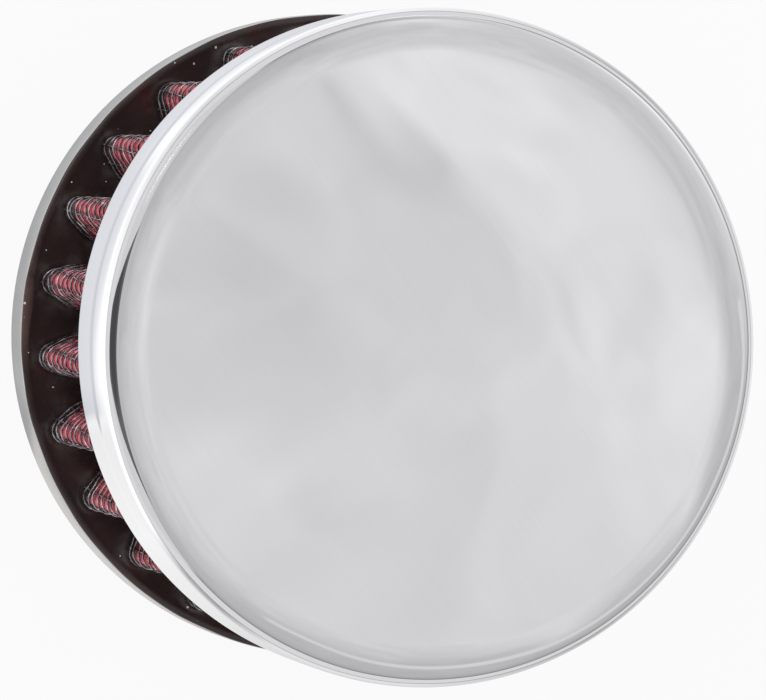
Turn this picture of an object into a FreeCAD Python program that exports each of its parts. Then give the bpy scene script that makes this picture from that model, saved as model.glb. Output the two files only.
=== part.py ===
import FreeCAD, Part
import math
import os
import Sketcher

# Round pleated air filter, in millimetres. It stands on the mouth of its neck:
# the origin is the centre of that mouth and +Z runs up the axis to the end cap.

DIMENSIONS = {
    # end cap
    "cap_diameter": 76.2,
    "cap_sheet": 0.8,
    "cap_skirt": 11.2,
    "cap_corner": 1.8,
    "cap_shoulder": 24.0,
    "crown_slope": 2.4,
    "shoulder_slope": 11.0,
    # base pan
    "pan_sheet": 0.8,
    "pan_wall": 6.1,
    "pan_corner": 1.0,
    # neck
    "neck_bore": 31.75,
    "neck_sheet": 1.2,
    "neck_length": 19.0,
    "neck_bead": 1.1,
    "neck_flange": 3.0,
    "neck_mouth": 1.6,
    # pleated element
    "open_height": 28.7,
    "pleat_pitch": 9.0,
    "pleat_setback": 1.9,
    "tip_fold": 0.32,
    "valley_flat": 0.7,
    "screen_ply": 0.3,
    "gauze_ply": 0.4,
    "screen_windows": 3.0,
    "window_bar": 1.1,
    # moulded compound
    "potting_lip": 6.5,
    "potting_recess": 0.3,
    "base_embed": 3.2,
    "cap_embed": 5.0,
    # clearances
    "bond_gap": 0.04,
    "ply_gap": 0.04,
    "neck_fit": 0.08,
}

doc = FreeCAD.newDocument("performance_air_filter")
sheet = doc.addObject("Spreadsheet::Sheet", "dims")
for row, (alias, number) in enumerate(DIMENSIONS.items(), start=1):
    sheet.set(f"A{row}", alias)
    sheet.set(f"B{row}", str(number))
    sheet.setAlias(f"B{row}", alias)
doc.recompute()


def value(expression):
    return float(sheet.evalExpression(expression))


def origin_plane(body, role):
    return next(item for item in body.Origin.OriginFeatures if item.Role == role)


# Levels and radii that several pieces share, as expressions of the sheet.
cap_radius = "dims.cap_diameter / 2"
pan_floor = "dims.neck_length"
pan_rim = f"({pan_floor} + dims.pan_wall)"
skirt_edge = f"({pan_rim} + dims.open_height)"
corner_level = f"({skirt_edge} + dims.cap_skirt)"
base_pour = f"({pan_rim} - dims.potting_recess)"
cap_pour = f"({skirt_edge} + dims.potting_recess)"
neck_radius = "dims.neck_bore / 2"
neck_outside = f"({neck_radius} + dims.neck_sheet)"
flange_radius = f"({neck_outside} + dims.neck_flange)"
flange_seat = f"({pan_floor} + dims.pan_sheet + dims.bond_gap)"
flange_top = f"({flange_seat} + dims.neck_sheet)"


def cap_section(depth):
    # Corner, shoulder and crown of the cap's section, at a depth below its outer skin.
    corner_x = f"({cap_radius} - dims.cap_corner)"
    steep = "(dims.shoulder_slope * 1 deg)"
    gentle = "(dims.crown_slope * 1 deg)"
    shoulder_x = f"({corner_x} - (dims.cap_shoulder - dims.cap_corner) * sin({steep}))"
    shoulder_z = f"({corner_level} - (dims.cap_shoulder - dims.cap_corner) * cos({steep}))"
    crown = f"({shoulder_x} / sin({gentle}) + dims.cap_shoulder)"
    crown_z = f"({shoulder_z} - ({crown} - dims.cap_shoulder) * cos({gentle}))"
    corner = f"(dims.cap_corner - {depth})"
    shoulder = f"(dims.cap_shoulder - {depth})"
    wall_top = (f"{cap_radius} - {depth}", corner_level)
    corner_top = (f"{corner_x} + {corner} * sin({steep})", f"{corner_level} + {corner} * cos({steep})")
    crown_edge = (f"{shoulder_x} + {shoulder} * sin({gentle})", f"{shoulder_z} + {shoulder} * cos({gentle})")
    summit = ("0", f"{crown_z} + {crown} - {depth}")
    return {
        "points": [wall_top, corner_top, crown_edge, summit],
        "radii": [corner, shoulder, f"({crown} - {depth})"],
    }


def arc_between(start, end, radius, turn):
    # The shorter arc from start to end; turn is 1 for anticlockwise and -1 for clockwise.
    chord = end - start
    rise = math.sqrt(max(radius ** 2 - (chord.Length / 2) ** 2, 0.0))
    side = FreeCAD.Vector(-chord.y, chord.x, 0).normalize()
    centre = (start + end) / 2 + side * rise * turn
    first, last = (start, end) if turn > 0 else (end, start)
    angles = [math.atan2(point.y - centre.y, point.x - centre.x) for point in (first, last)]
    return Part.ArcOfCircle(Part.Circle(centre, FreeCAD.Vector(0, 0, 1), radius), *angles)


def revolved_body(label, section):
    # section: the corners in order as (x, z, arc), where arc is None for a straight run to
    # the next corner, or (radius, turn) for a rounded one.
    body = doc.addObject("PartDesign::Body", label)
    body.Label = label
    sketch = body.newObject("Sketcher::SketchObject", f"{label}_section")
    sketch.AttachmentSupport = [(origin_plane(body, "XZ_Plane"), "")]
    sketch.MapMode = "FlatFace"
    corners = [FreeCAD.Vector(value(x), value(z), 0) for x, z, _ in section]
    ends = []
    for index, (_, _, arc) in enumerate(section):
        start = corners[index]
        end = corners[(index + 1) % len(corners)]
        if arc is None:
            edge = sketch.addGeometry(Part.LineSegment(start, end))
            ends.append((edge, 1, 2))
        else:
            radius, turn = arc
            edge = sketch.addGeometry(arc_between(start, end, value(radius), turn))
            ends.append((edge, 1, 2) if turn > 0 else (edge, 2, 1))
    for index, (x, z, arc) in enumerate(section):
        edge, first, _ = ends[index]
        before, _, last = ends[index - 1]
        sketch.addConstraint(Sketcher.Constraint("Coincident", before, last, edge, first))
        for kind, axis, expression in (("DistanceX", -2, x), ("DistanceY", -1, z)):
            if expression == "0":
                sketch.addConstraint(Sketcher.Constraint("PointOnObject", edge, first, axis))
                continue
            place = Sketcher.Constraint(kind, -1, 1, edge, first, value(expression))
            name = f"{kind}_{index}"
            sketch.renameConstraint(sketch.addConstraint(place), name)
            sketch.setExpression(f"Constraints.{name}", expression)
        if arc is not None:
            name = f"Radius_{index}"
            bend = Sketcher.Constraint("Radius", edge, value(arc[0]))
            sketch.renameConstraint(sketch.addConstraint(bend), name)
            sketch.setExpression(f"Constraints.{name}", arc[0])
    turned = body.newObject("PartDesign::Revolution", f"{label}_turned")
    turned.Profile = sketch
    turned.ReferenceAxis = (sketch, ["V_Axis"])
    turned.Angle = 360
    sketch.Visibility = False
    body.Tip = turned
    return body


# End cap: one drawn sheet, so its inner skin follows the outer one at the sheet's thickness.
outer_skin = cap_section("0")
inner_skin = cap_section("dims.cap_sheet")
cap_corners = [(f"{cap_radius} - dims.cap_sheet", skirt_edge, None), (cap_radius, skirt_edge, None)]
for (x, z), radius in zip(outer_skin["points"], outer_skin["radii"]):
    cap_corners.append((x, z, (radius, 1)))
cap_corners.append((*outer_skin["points"][-1], None))
for index in (3, 2, 1):
    cap_corners.append((*inner_skin["points"][index], (inner_skin["radii"][index - 1], -1)))
cap_corners.append((*inner_skin["points"][0], None))
end_cap = revolved_body("end_cap", cap_corners)

# Base pan: a flat floor with a hole for the neck, a rounded corner and a low wall.
pan_hole = f"({neck_outside} + dims.neck_fit)"
pan_bend = f"({cap_radius} - dims.pan_corner)"
base_pan = revolved_body("base_pan", [
    (pan_hole, pan_floor, None),
    (pan_bend, pan_floor, ("dims.pan_corner", 1)),
    (cap_radius, f"{pan_floor} + dims.pan_corner", None),
    (cap_radius, pan_rim, None),
    (f"{cap_radius} - dims.pan_sheet", pan_rim, None),
    (f"{cap_radius} - dims.pan_sheet", f"{pan_floor} + dims.pan_corner", ("(dims.pan_corner - dims.pan_sheet)", -1)),
    (pan_bend, f"{pan_floor} + dims.pan_sheet", None),
    (pan_hole, f"{pan_floor} + dims.pan_sheet", None),
])

# Neck: a tube with a bead that bears on the pan's underside and a flange on the pan's floor.
bead_top = f"({pan_floor} - dims.bond_gap)"
neck_tube = revolved_body("neck_tube", [
    (neck_radius, "0", None),
    (neck_outside, "0", None),
    (neck_outside, f"{bead_top} - 2 * dims.neck_bead", ("dims.neck_bead", 1)),
    (f"{neck_outside} + dims.neck_bead", f"{bead_top} - dims.neck_bead", ("dims.neck_bead", 1)),
    (neck_outside, bead_top, None),
    (neck_outside, flange_seat, None),
    (flange_radius, flange_seat, None),
    (flange_radius, flange_top, None),
    (f"{neck_radius} + dims.neck_mouth", flange_top, ("dims.neck_mouth", 1)),
    (neck_radius, f"{flange_top} - dims.neck_mouth", None),
])

# Pleats: each one is an arc round its tip, two straight flanks and half of the narrow flat
# valley on either side, and every ply is an exact offset of the outermost face.
plies = 2 * value("dims.screen_ply") + value("dims.gauze_ply") + 2 * value("dims.ply_gap")
tip_radius = value(f"{cap_radius} - dims.pleat_setback")
root_radius = value(f"{flange_radius} + dims.potting_lip")
pleat_count = int(2 * math.pi * tip_radius / value("dims.pleat_pitch"))
half_turn = math.pi / pleat_count
tip_bend = value("dims.tip_fold") + plies
tip_centre = tip_radius - tip_bend
pleat_foot = value(f"{base_pour} - dims.base_embed")
pleat_head = value(f"{cap_pour} + dims.cap_embed")


def polar(radius, angle):
    return FreeCAD.Vector(radius * math.cos(angle), radius * math.sin(angle), 0)


def pleat_outline(depth):
    # Closed outline of all the pleats, at a depth below the outermost face. The flank is
    # tangent to the tip's arc, and lean is the direction of its normal.
    tip = tip_bend - depth
    valley = polar(root_radius + plies, half_turn)
    corner = valley - polar(value("dims.valley_flat / 2"), half_turn + math.pi / 2)
    across = corner - polar(tip_centre, 0)
    lean = math.atan2(across.y, across.x) - math.acos(tip_bend / across.Length)
    corner -= polar(depth / math.cos((lean - half_turn) / 2), (lean + half_turn) / 2)
    reach = corner.Length
    swing = math.atan2(corner.y, corner.x)
    edges = []
    for index in range(pleat_count):
        turn = 2 * half_turn * index
        after = turn + 2 * half_turn
        tip_at = polar(tip_centre, turn)
        left = tip_at + polar(tip, turn + lean)
        right = tip_at + polar(tip, turn - lean)
        foot = polar(reach, turn + swing)
        rise = polar(reach, after - swing)
        next_right = polar(tip_centre, after) + polar(tip, after - lean)
        edges.append(Part.Arc(right, tip_at + polar(tip, turn), left).toShape())
        edges.append(Part.LineSegment(left, foot).toShape())
        edges.append(Part.LineSegment(foot, rise).toShape())
        edges.append(Part.LineSegment(rise, next_right).toShape())
    return Part.Wire(edges)


def pleated_ring(shallow, deep, height):
    # The ring between two depths of the pleats, standing on its own foot.
    face = Part.Face([pleat_outline(shallow), pleat_outline(deep)])
    face.validate()
    return face.extrude(FreeCAD.Vector(0, 0, height))


def feature(label, shape, level):
    made = doc.addObject("Part::Feature", label)
    made.Label = label
    made.Shape = shape
    made.Placement = FreeCAD.Placement(FreeCAD.Vector(0, 0, level), FreeCAD.Rotation())
    return made


pleat_height = pleat_head - pleat_foot
screen_depth = value("dims.screen_ply")
gauze_depth = screen_depth + value("dims.ply_gap")
gauze_back = gauze_depth + value("dims.gauze_ply")
inner_depth = gauze_back + value("dims.ply_gap")
screen_wall = feature("screen_wall", pleated_ring(0, screen_depth, pleat_height), pleat_foot)
gauze_pleats = feature("gauze_pleats", pleated_ring(gauze_depth, gauze_back, pleat_height), pleat_foot)
inner_screen = feature("inner_screen", pleated_ring(inner_depth, plies, pleat_height), pleat_foot)


def screen_windows():
    # One column of openings down each pleat's tip, with bars of the wall left between them.
    rows = int(value("dims.screen_windows"))
    step = value("dims.open_height / dims.screen_windows")
    height = step - value("dims.window_bar")
    near = tip_bend / 2
    openings = []
    for index in range(pleat_count):
        turn = math.degrees(2 * half_turn * index)
        for level in range(rows):
            corner = FreeCAD.Vector(tip_centre + near, -near, level * step)
            opening = Part.makeBox(2 * near, 2 * near, height, corner)
            opening.rotate(FreeCAD.Vector(), FreeCAD.Vector(0, 0, 1), turn)
            openings.append(opening)
    return Part.makeCompound(openings)


windows = feature("windows", screen_windows(), value(f"{pan_rim} + dims.window_bar / 2"))
outer_screen = doc.addObject("Part::Cut", "outer_screen")
outer_screen.Label = "outer_screen"
outer_screen.Base = screen_wall
outer_screen.Tool = windows

# Moulded compound: it fills the cap and the pan, less a groove that takes the pleats' ends.
bond = value("dims.bond_gap")
groove = feature("groove", pleated_ring(-bond, plies + bond, pleat_height + 2 * bond), pleat_foot - bond)
pour_skin = cap_section("(dims.cap_sheet + dims.bond_gap)")
pour_corners = [("0", cap_pour, None), (pour_skin["points"][0][0], cap_pour, None)]
for (x, z), radius in zip(pour_skin["points"], pour_skin["radii"]):
    pour_corners.append((x, z, (radius, 1)))
pour_corners.append((*pour_skin["points"][-1], None))
cap_fill = revolved_body("cap_fill", pour_corners)
cap_potting = doc.addObject("Part::Cut", "cap_potting")
cap_potting.Label = "cap_potting"
cap_potting.Base = cap_fill
cap_potting.Tool = groove

pour_edge = f"({cap_radius} - dims.pan_sheet - dims.bond_gap)"
pour_bend = "(dims.pan_corner - dims.pan_sheet - dims.bond_gap)"
pour_bore = f"({flange_radius} + dims.bond_gap)"
base_fill = revolved_body("base_fill", [
    (pour_bore, flange_seat, None),
    (pan_bend, flange_seat, (pour_bend, 1)),
    (pour_edge, f"{pan_floor} + dims.pan_corner", None),
    (pour_edge, base_pour, None),
    (pour_bore, base_pour, None),
])
base_potting = doc.addObject("Part::Cut", "base_potting")
base_potting.Label = "base_potting"
base_potting.Base = base_fill
base_potting.Tool = groove

doc.recompute()
for item in doc.Objects:
    if "Invalid" in item.State or "Error" in item.State:
        raise RuntimeError(f"{item.Label} did not build")

os.makedirs("parts", exist_ok=True)
pieces = [
    end_cap, cap_potting, outer_screen, gauze_pleats, inner_screen, base_potting, base_pan, neck_tube,
]
for piece in pieces:
    if piece.Shape.isNull() or not piece.Shape.isValid():
        raise RuntimeError(f"{piece.Label} has no valid shape")
    piece.Shape.exportStep(f"parts/{piece.Label}.step")
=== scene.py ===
import math

import bpy
import numpy as np
from mathutils import Matrix, Vector


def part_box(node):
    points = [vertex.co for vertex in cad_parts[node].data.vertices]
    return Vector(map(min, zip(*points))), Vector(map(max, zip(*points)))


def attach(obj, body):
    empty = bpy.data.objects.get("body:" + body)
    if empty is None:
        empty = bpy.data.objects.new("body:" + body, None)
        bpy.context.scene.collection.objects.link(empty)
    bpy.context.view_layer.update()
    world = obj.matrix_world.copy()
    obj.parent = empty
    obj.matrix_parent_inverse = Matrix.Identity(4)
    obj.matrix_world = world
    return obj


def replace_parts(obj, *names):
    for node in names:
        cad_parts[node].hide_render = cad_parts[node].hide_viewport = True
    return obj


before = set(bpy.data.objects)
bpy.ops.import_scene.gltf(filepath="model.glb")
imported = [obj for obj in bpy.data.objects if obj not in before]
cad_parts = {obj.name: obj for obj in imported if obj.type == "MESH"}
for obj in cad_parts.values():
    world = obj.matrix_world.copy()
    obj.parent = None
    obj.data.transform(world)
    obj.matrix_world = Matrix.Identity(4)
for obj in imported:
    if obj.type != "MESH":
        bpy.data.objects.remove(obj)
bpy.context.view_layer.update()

mm = 0.001
tau = 2 * math.pi
upward = Vector((0, 0, 1))
dice = np.random.default_rng(26)

# levels and radii that the pieces share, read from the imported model
capLow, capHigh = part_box("end_cap")
panLow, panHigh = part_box("base_pan")
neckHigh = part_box("neck_tube")[1]
screenLow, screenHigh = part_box("outer_screen")
basePourLow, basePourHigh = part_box("base_potting")
capPourLow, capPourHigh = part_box("cap_potting")
capRadius = capHigh.x
panRadius = panHigh.x
tipRadius = screenHigh.x
skirtEdge = capLow.z
panFloor = panLow.z
panRim = panHigh.z
basePour = basePourHigh.z
capPour = capPourLow.z
skirtCentre = Vector((0, 0, skirtEdge))


def hexLinear(code):  # sRGB hex to linear colour
    parts = [int(code[i:i + 2], 16) / 255 for i in (1, 3, 5)]
    return [p / 12.92 if p <= 0.04045 else ((p + 0.055) / 1.055) ** 2.4 for p in parts] + [1.0]


def linkTo(tree, node, links):  # each input socket from (node, output)
    for key, (source, output) in links.items():
        tree.links.new(source.outputs[output], node.inputs[key])


def addNode(tree, kind, settings=None, links=None):  # settings are sockets, properties or a ramp's stops
    node = tree.nodes.new(kind)
    for key, given in (settings or {}).items():
        if key == "stops":
            marks = node.color_ramp.elements
            marks.remove(marks[1])
            marks[0].position, marks[0].color = given[0]
            for place, colour in given[1:]:
                marks.new(place).color = colour
        elif isinstance(key, int) or key in node.inputs:
            node.inputs[key].default_value = given
        else:
            setattr(node, key, given)
    linkTo(tree, node, links or {})
    return node


def emptyTree(owner):  # node tree of a new material or world, with nothing in it
    owner.use_nodes = True
    owner.node_tree.nodes.clear()
    return owner.node_tree


def newMaterial(name, settings):  # a material with its principled shader, set as given, and its output
    material = bpy.data.materials.new(name)
    tree = emptyTree(material)
    shader = addNode(tree, "ShaderNodeBsdfPrincipled", settings)
    addNode(tree, "ShaderNodeOutputMaterial", links={"Surface": (shader, "BSDF")})
    return material, tree, shader


def makePiece(name, points, faces, material, smooth=True):
    mesh = bpy.data.meshes.new(name)
    mesh.from_pydata([tuple(p) for p in points], [], [tuple(f) for f in faces])
    mesh.validate()
    mesh.polygons.foreach_set("use_smooth", [smooth] * len(mesh.polygons))
    mesh.materials.append(material)
    mesh.update()
    piece = bpy.data.objects.new(name, mesh)
    bpy.context.scene.collection.objects.link(piece)
    return piece


def unit(angle):
    return np.array([math.cos(angle), math.sin(angle)])


def arcPoints(centre, radius, start, end, count):  # angles in degrees from the +r axis
    turns = np.radians(np.linspace(start, end, count))
    return [(centre[0] + radius * math.cos(a), centre[1] + radius * math.sin(a)) for a in turns]


def runPoints(start, end, count):  # straight run without its end point
    return [tuple(p) for p in np.linspace(start, end, count, endpoint=False)]


def lathe(outline, segments):  # closed outline of (r, z) turned about Z, anticlockwise; r = 0 makes a pole
    turns = np.arange(segments) * tau / segments
    points, rows = [], []
    for r, z in outline:
        ring = [(r * math.cos(a), r * math.sin(a), z) for a in turns] if r else [(0.0, 0.0, z)]
        rows.append([len(points) + (k if r else 0) for k in range(segments)])
        points += ring
    faces = []
    for low, high in zip(rows, rows[1:] + rows[:1]):
        for k in range(segments):
            n = (k + 1) % segments
            face = list(dict.fromkeys((low[k], low[n], high[n], high[k])))
            if len(face) > 2:
                faces.append(face)
    return points, faces


def ringFaces(rows, columns, closed=True):  # quads of a grid whose rows are rings; closed joins last to first
    faces = []
    for i in range(rows if closed else rows - 1):
        j = (i + 1) % rows
        for k in range(columns):
            n = (k + 1) % columns
            faces.append((i * columns + k, i * columns + n, j * columns + n, j * columns + k))
    return faces


def ringAt(radius, turns, level):
    return np.column_stack([radius * np.cos(turns), radius * np.sin(turns), np.full(len(turns), level)])


def ripple(turns, counts):  # sum of waves round the axis, each with its own phase
    return sum(np.sin(k * turns + dice.uniform(0, tau)) for k in counts)


# pleats: the outermost face of the folds, which every ply follows at its own depth
pleat = {"count": 25, "tipFold": 0.32 * mm, "valleyFold": 0.35 * mm, "root": 26.575 * mm,
         "screenPly": 0.3 * mm, "gauzePly": 0.4 * mm, "plyGap": 0.04 * mm,
         "proud": 0.25 * mm, "bulge": 0.3 * mm, "bulgeFrom": 0.4 * mm, "bulgeLength": 6.0 * mm,
         "sway": 0.004, "swayWaves": (3, 5, 7, 8, 10, 11), "swayTwist": 0.5,
         "stillEdge": 0.9 * mm, "edgeFade": 1.2 * mm, "stillHub": 20 * mm, "hubFade": 8 * mm}
plies = 2 * pleat["screenPly"] + pleat["gauzePly"] + 2 * pleat["plyGap"]
gauzeDepth = pleat["screenPly"] + pleat["plyGap"]
halfTurn = math.pi / pleat["count"]
tipBend = pleat["tipFold"] + plies
tipCentre = tipRadius - tipBend
valleyCentre = pleat["root"] + plies + pleat["valleyFold"]
nudges = [(k, dice.uniform(0, tau), dice.uniform(-1, 1)) for k in pleat["swayWaves"]]


def pleatOutline(tipSteps, flankSteps, valleySteps):
    # places, outward normals, length run so far and whole length, at the middle of the outer screen
    across = unit(halfTurn) * valleyCentre - np.array([tipCentre, 0])
    lean = math.atan2(across[1], across[0]) - math.acos((tipBend + pleat["valleyFold"]) / np.hypot(*across))
    shares = np.linspace(0, 1, flankSteps + 1)[1:-1]
    places, normals = [], []
    for index in range(pleat["count"]):
        turn = 2 * halfTurn * index
        tip = unit(turn) * tipCentre
        valley = unit(turn + halfTurn) * valleyCentre
        nextTip = unit(turn + 2 * halfTurn) * tipCentre
        for a in np.linspace(turn - lean, turn + lean, tipSteps):
            places.append(tip + unit(a) * tipBend)
            normals.append(unit(a))
        falling = normals[-1]
        foot = valley - falling * pleat["valleyFold"]
        for share in shares:
            places.append(tip + falling * tipBend + share * (foot - tip - falling * tipBend))
            normals.append(falling)
        for a in np.linspace(turn + lean, turn + 2 * halfTurn - lean, valleySteps):
            places.append(valley - unit(a) * pleat["valleyFold"])
            normals.append(unit(a))
        rising = normals[-1]
        rise = valley - rising * pleat["valleyFold"]
        head = nextTip + rising * tipBend
        for share in shares:
            places.append(rise + share * (head - rise))
            normals.append(rising)
    places, normals = np.array(places), np.array(normals)
    inward = (tipRadius - np.hypot(*places.T) - pleat["bulgeFrom"]) / pleat["bulgeLength"]
    belly = np.sin(math.pi * np.clip(inward, 0, 1)) ** 2  # the flanks belly out behind the tip
    places += normals * (pleat["proud"] + pleat["bulge"] * belly)[:, None]
    middleLine = places - normals * pleat["screenPly"] / 2
    hops = np.linalg.norm(np.roll(middleLine, -1, axis=0) - middleLine, axis=1)
    run = np.concatenate([[0], np.cumsum(hops)[:-1]])
    return places, normals, run, hops.sum()


def sway(points):  # folds stand a little unevenly, so the pack is nudged round its axis between hub and edge
    points = np.array(points)
    radius = np.hypot(points[:, 0], points[:, 1])
    turn = np.arctan2(points[:, 1], points[:, 0])
    twist = pleat["swayTwist"] * ((points[:, 2] - panRim) / (skirtEdge - panRim))
    nudge = sum(share * np.sin(k * turn + phase + twist) for k, phase, share in nudges)
    free = (np.clip((capRadius - pleat["stillEdge"] - radius) / pleat["edgeFade"], 0, 1)
            * np.clip((radius - pleat["stillHub"]) / pleat["hubFade"], 0, 1))
    turn = turn + nudge * free * pleat["sway"]
    return np.stack([radius * np.cos(turn), radius * np.sin(turn), points[:, 2]], axis=1)


# screens: plain-woven wire, hoops round the folds and straight strands up them
screen = {"wire": 0.22 * mm, "sides": 5, "hoopPitch": 2.3 * mm, "firstHoop": 0.4 * mm,
          "strandPitch": 2.2 * mm, "crimp": 0.05 * mm, "under": 0.1 * mm, "skew": 4.0,
          "wander": 0.2 * mm, "wanderLength": 9 * mm, "hoopWaves": (26, 41, 67),
          "hoopSteps": (15, 12, 5), "strandSteps": (17, 8, 7), "strandStep": 0.65 * mm,
          "innerSteps": (5, 2, 7), "innerStep": 9 * mm}
skewSlope = math.tan(math.radians(screen["skew"]))
hoopFirst = screenLow.z + screen["firstHoop"]
hoopCount = int((screenHigh.z - hoopFirst) / screen["hoopPitch"]) + 1
foldLength = pleatOutline(*screen["strandSteps"])[3]
strandCount = 2 * round(foldLength / screen["strandPitch"] / 2)
strandPitch = foldLength / strandCount

# materials
waveStep = tau / 20  # a wave texture of this scale repeats once a unit
threadPitch = 0.55  # of the gauze, in millimetres

# compound crept into the folds: full up to the first distance from the pour's level, none past the second
wick = {"base": (3.4 * mm, 6.2 * mm), "cap": (1.0 * mm, 3.0 * mm), "ragged": 1.6 * mm, "grain": 2.2 * mm}


def chromePlate():
    # bright chrome plate on pressed steel: mirror-like, with a light haze, slanting polish lines and the
    # press's slow waves
    material, tree, shader = newMaterial("chrome_plate_on_pressed_steel", {"Metallic": 1.0})
    place = addNode(tree, "ShaderNodeTexCoord")
    here = {"Vector": (place, "Object")}
    slant = (0, 0, math.radians(35))
    broad = addNode(tree, "ShaderNodeMapping", {"vector_type": "TEXTURE", "Rotation": slant,
                    "Scale": (52 * mm, 34 * mm, 40 * mm)}, here)
    waves = addNode(tree, "ShaderNodeTexNoise", {"Scale": 1.0, "Detail": 1.0, "Distortion": 1.0},
                    {"Vector": (broad, "Vector")})
    along = addNode(tree, "ShaderNodeMapping", {"vector_type": "TEXTURE", "Rotation": slant,
                    "Scale": (16 * mm, 0.4 * mm, 16 * mm)}, here)
    lines = addNode(tree, "ShaderNodeTexNoise", {"Scale": 1.0, "Detail": 2.0}, {"Vector": (along, "Vector")})
    haze = addNode(tree, "ShaderNodeTexNoise", {"Scale": 1 / (9 * mm), "Detail": 3.0}, here)
    tone = addNode(tree, "ShaderNodeValToRGB", {"stops": [(0.3, hexLinear("#ececee")),
                   (0.7, hexLinear("#ededef"))]}, {"Fac": (lines, "Fac")})
    gloss = addNode(tree, "ShaderNodeMapRange", {"From Min": 0.3, "From Max": 0.7, "To Min": 0.03,
                    "To Max": 0.07}, {"Value": (haze, "Fac")})
    slow = addNode(tree, "ShaderNodeBump", {"Strength": 1.0, "Distance": 0.26 * mm},
                   {"Height": (waves, "Fac")})
    fine = addNode(tree, "ShaderNodeBump", {"Strength": 0.012, "Distance": 0.01 * mm},
                   {"Height": (lines, "Fac"), "Normal": (slow, "Normal")})
    linkTo(tree, shader, {"Base Color": (tone, "Color"), "Roughness": (gloss, "Result"),
                          "Normal": (fine, "Normal")})
    return material


def satinSteel():
    # zinc-plated drawn steel: dull satin grey, with turned marks round it and faint cloudy spangle
    material, tree, shader = newMaterial("zinc_plated_drawn_steel", {"Metallic": 1.0})
    place = addNode(tree, "ShaderNodeTexCoord")
    here = {"Vector": (place, "Object")}
    cloud = addNode(tree, "ShaderNodeTexNoise", {"Scale": 1 / (5 * mm), "Detail": 4.0}, here)
    tone = addNode(tree, "ShaderNodeValToRGB", {"stops": [(0.3, hexLinear("#b4b2af")),
                   (0.7, hexLinear("#c1bfbc"))]}, {"Fac": (cloud, "Fac")})
    along = addNode(tree, "ShaderNodeMapping",
                    {"Scale": (1 / (20 * mm), 1 / (20 * mm), 1 / (0.25 * mm))}, here)
    marks = addNode(tree, "ShaderNodeTexNoise", {"Scale": 1.0, "Detail": 2.0}, {"Vector": (along, "Vector")})
    gloss = addNode(tree, "ShaderNodeMapRange", {"To Min": 0.2, "To Max": 0.32}, {"Value": (cloud, "Fac")})
    bump = addNode(tree, "ShaderNodeBump", {"Strength": 0.15, "Distance": 0.02 * mm},
                   {"Height": (marks, "Fac")})
    linkTo(tree, shader, {"Base Color": (tone, "Color"), "Roughness": (gloss, "Result"),
                          "Normal": (bump, "Normal")})
    return material


def wickLevel(tree, place):  # 0 in the open, 1 where the poured compound has crept up or down the pleats
    split = addNode(tree, "ShaderNodeSeparateXYZ", links={0: (place, "Object")})
    edge = addNode(tree, "ShaderNodeTexNoise", {"Scale": 1 / wick["grain"], "Detail": 2.0},
                   {"Vector": (place, "Object")})
    jitter = addNode(tree, "ShaderNodeMapRange", {"To Min": -wick["ragged"], "To Max": wick["ragged"]},
                     {"Value": (edge, "Fac")})
    level = addNode(tree, "ShaderNodeMath", {"operation": "ADD"}, {0: (split, "Z"), 1: (jitter, "Result")})
    low = addNode(tree, "ShaderNodeMapRange", {"From Min": basePour + wick["base"][0],
                  "From Max": basePour + wick["base"][1], "To Min": 1.0, "To Max": 0.0},
                  {"Value": (level, "Value")})
    high = addNode(tree, "ShaderNodeMapRange", {"From Min": capPour - wick["cap"][1],
                   "From Max": capPour - wick["cap"][0]}, {"Value": (level, "Value")})
    return addNode(tree, "ShaderNodeMath", {"operation": "MAXIMUM"},
                   {0: (low, "Result"), 1: (high, "Result")})


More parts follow.
